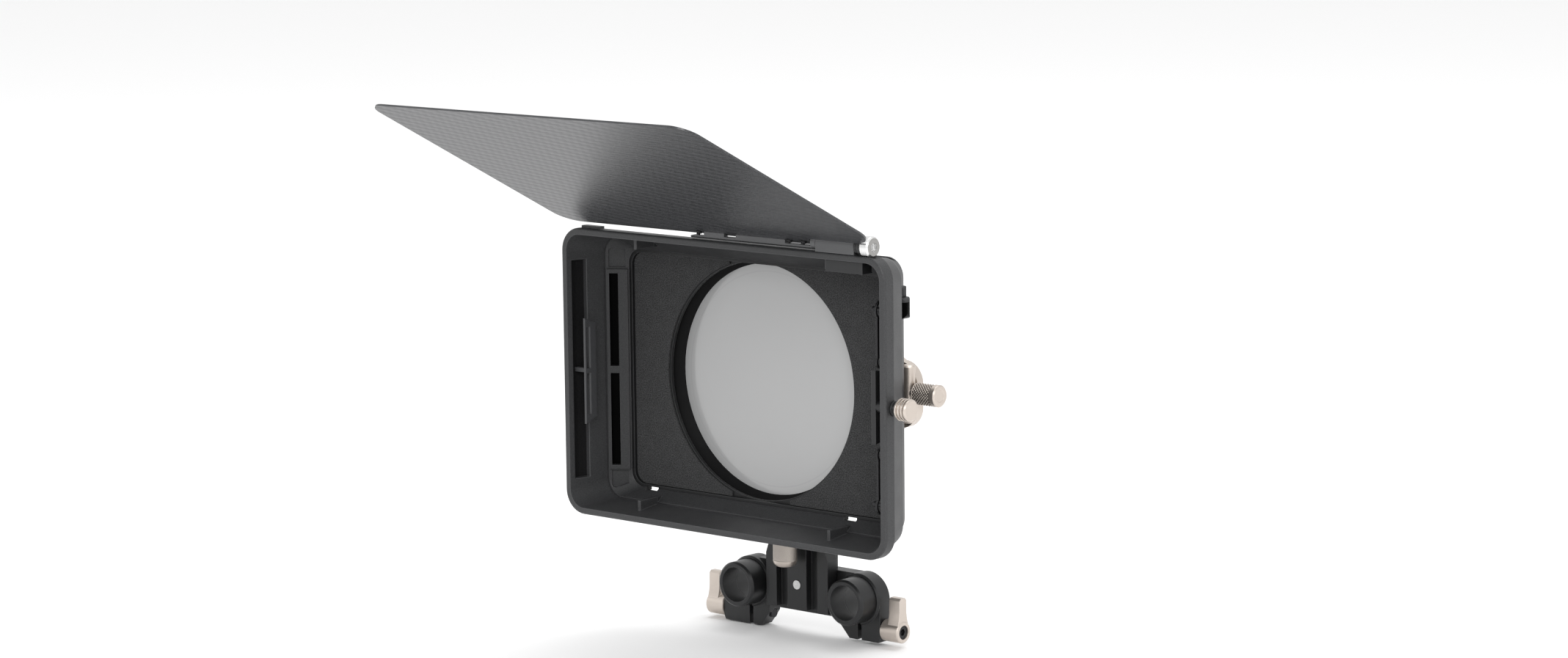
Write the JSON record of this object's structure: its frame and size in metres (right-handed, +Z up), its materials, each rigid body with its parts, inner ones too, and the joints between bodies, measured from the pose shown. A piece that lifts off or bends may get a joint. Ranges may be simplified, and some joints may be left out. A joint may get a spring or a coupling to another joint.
{
  "type": "matte box",
  "caption": "Clamp-on matte box for 15 mm rods: wide rectangular hood, sliding filter tray, turning round filter, tilting top flag and split rod clamps.",
  "frame": {"origin": "centre of the lens bore at its rear mouth", "axes": "+Y along the optical axis towards the camera, -Y out of the hood, +Z up, +X towards the lock knob"},
  "size_m": [0.1854, 0.1759, 0.2347],
  "materials": {
    "hood_plastic": "fine moulded grain",
    "stage_plastic": "satin moulded",
    "black_metal": "black anodised, fine bead blast",
    "champagne_metal": "champagne anodised, turned",
    "bright_steel": "bright turned",
    "black_steel": "black oxide",
    "carbon_sheet": "satin carbon-fibre laminate, twill weave",
    "flock": "flocked, light-absorbing",
    "filter_glass": "polished, diffusing",
    "seal_rubber": "matt"
  },
  "bodies": {
    "root": {"hood_frame": "hood_plastic", "stage_housing": "stage_plastic", "guide_bar_left": "stage_plastic", "guide_bar_right": "stage_plastic", "rear_drum": "stage_plastic", "clip_left": "stage_plastic", "lens_ring": "black_metal", "hinge_clip": "black_metal", "bracket_shoe": "black_metal", "bracket_column": "black_metal", "latch_bush": "black_metal", "clip_jaw": "black_metal", "lock_bracket": "champagne_metal", "latch_spring": "bright_steel", "height_bolt": "bright_steel", "spring_strips": "black_steel", "strip_posts": "black_steel", "clip_screws": "black_steel", "ring_screws": "black_steel", "stage_screws": "black_steel", "shoe_screws": "black_steel", "height_nut": "black_steel", "height_washer": "black_steel", "bay_liner_left": "flock", "bay_liner_right": "flock", "light_seal": "seal_rubber"},
    "tray": {"tray_frame": "stage_plastic", "mask_plate": "black_metal", "flock_pad_left": "flock", "flock_pad_right": "flock"},
    "rotor": {"filter_ring": "black_metal", "filter_glass": "filter_glass", "glass_retainer": "black_metal"},
    "flag": {"flag_panel": "carbon_sheet", "hinge_bar": "black_metal", "flag_screws": "black_steel", "hinge_pin": "bright_steel", "friction_washers": "black_steel", "hinge_collar": "black_metal", "hinge_nut": "bright_steel"},
    "pull_latch": {"latch_plate": "black_metal", "latch_boss": "black_metal", "latch_pin": "bright_steel", "pull_knob": "champagne_metal"},
    "lens_tip": {"lock_tip": "seal_rubber"},
    "lens_lock": {"lock_knob": "champagne_metal", "lock_screw": "bright_steel"},
    "foot_thumb": {"thumb_knob": "champagne_metal", "thumb_screw": "bright_steel"},
    "rod_clamp": {"rod_bridge": "black_metal", "rod_bush_left": "black_metal", "rod_bush_right": "black_metal"},
    "lever_left": {"clamp_lever_left": "champagne_metal", "clamp_screw_left": "black_steel"},
    "lever_right": {"clamp_lever_right": "champagne_metal", "clamp_screw_right": "black_steel"}
  },
  "joints": [
    {"name": "tray_slide", "type": "slide", "parent": "root", "child": "tray", "axis": [0, 0, 1], "range_m": [0, 0.1]},
    {"name": "filter_turn", "type": "hinge", "parent": "root", "child": "rotor", "pos_m": [0, -0.0165, 0], "axis": [0, 1, 0], "continuous": true},
    {"name": "flag_tilt", "type": "hinge", "parent": "root", "child": "flag", "pos_m": [0.061, -0.047, 0.0649], "axis": [-1, 0, 0], "range_deg": [-40, 60]},
    {"name": "latch_pull", "type": "slide", "parent": "root", "child": "pull_latch", "axis": [1, 0, 0], "range_m": [0, 0.0015], "stiffness_N_per_m": 1000, "springref_m": -0.001, "deforming": ["latch_spring"]},
    {"name": "lock_feed", "type": "slide", "parent": "root", "child": "lens_tip", "axis": [1, 0, 0], "range_m": [-0.00039, 0.0007]},
    {"name": "lock_turn", "type": "hinge", "parent": "lens_tip", "child": "lens_lock", "pos_m": [0.07, -0.0104, 0.0005], "axis": [1, 0, 0], "range_deg": [-200, 360]},
    {"name": "thumb_turn", "type": "hinge", "parent": "root", "child": "foot_thumb", "pos_m": [0, -0.009, -0.07], "axis": [0, 0, -1], "range_deg": [0, 360]},
    {"name": "height_slide", "type": "slide", "parent": "root", "child": "rod_clamp", "axis": [0, 0, 1], "range_m": [-0.006, 0.006]},
    {"name": "lever_left_turn", "type": "hinge", "parent": "rod_clamp", "child": "lever_left", "pos_m": [-0.05, 0.0072, -0.1066], "axis": [-1, 0, 0], "range_deg": [0, 90]},
    {"name": "lever_right_turn", "type": "hinge", "parent": "rod_clamp", "child": "lever_right", "pos_m": [0.046, 0.0072, -0.1054], "axis": [1, 0, 0], "range_deg": [0, 90]}
  ],
  "couplings": [
    {"joint": "lock_turn", "follows": "lock_feed", "rad_per_m": 8976}
  ]
}
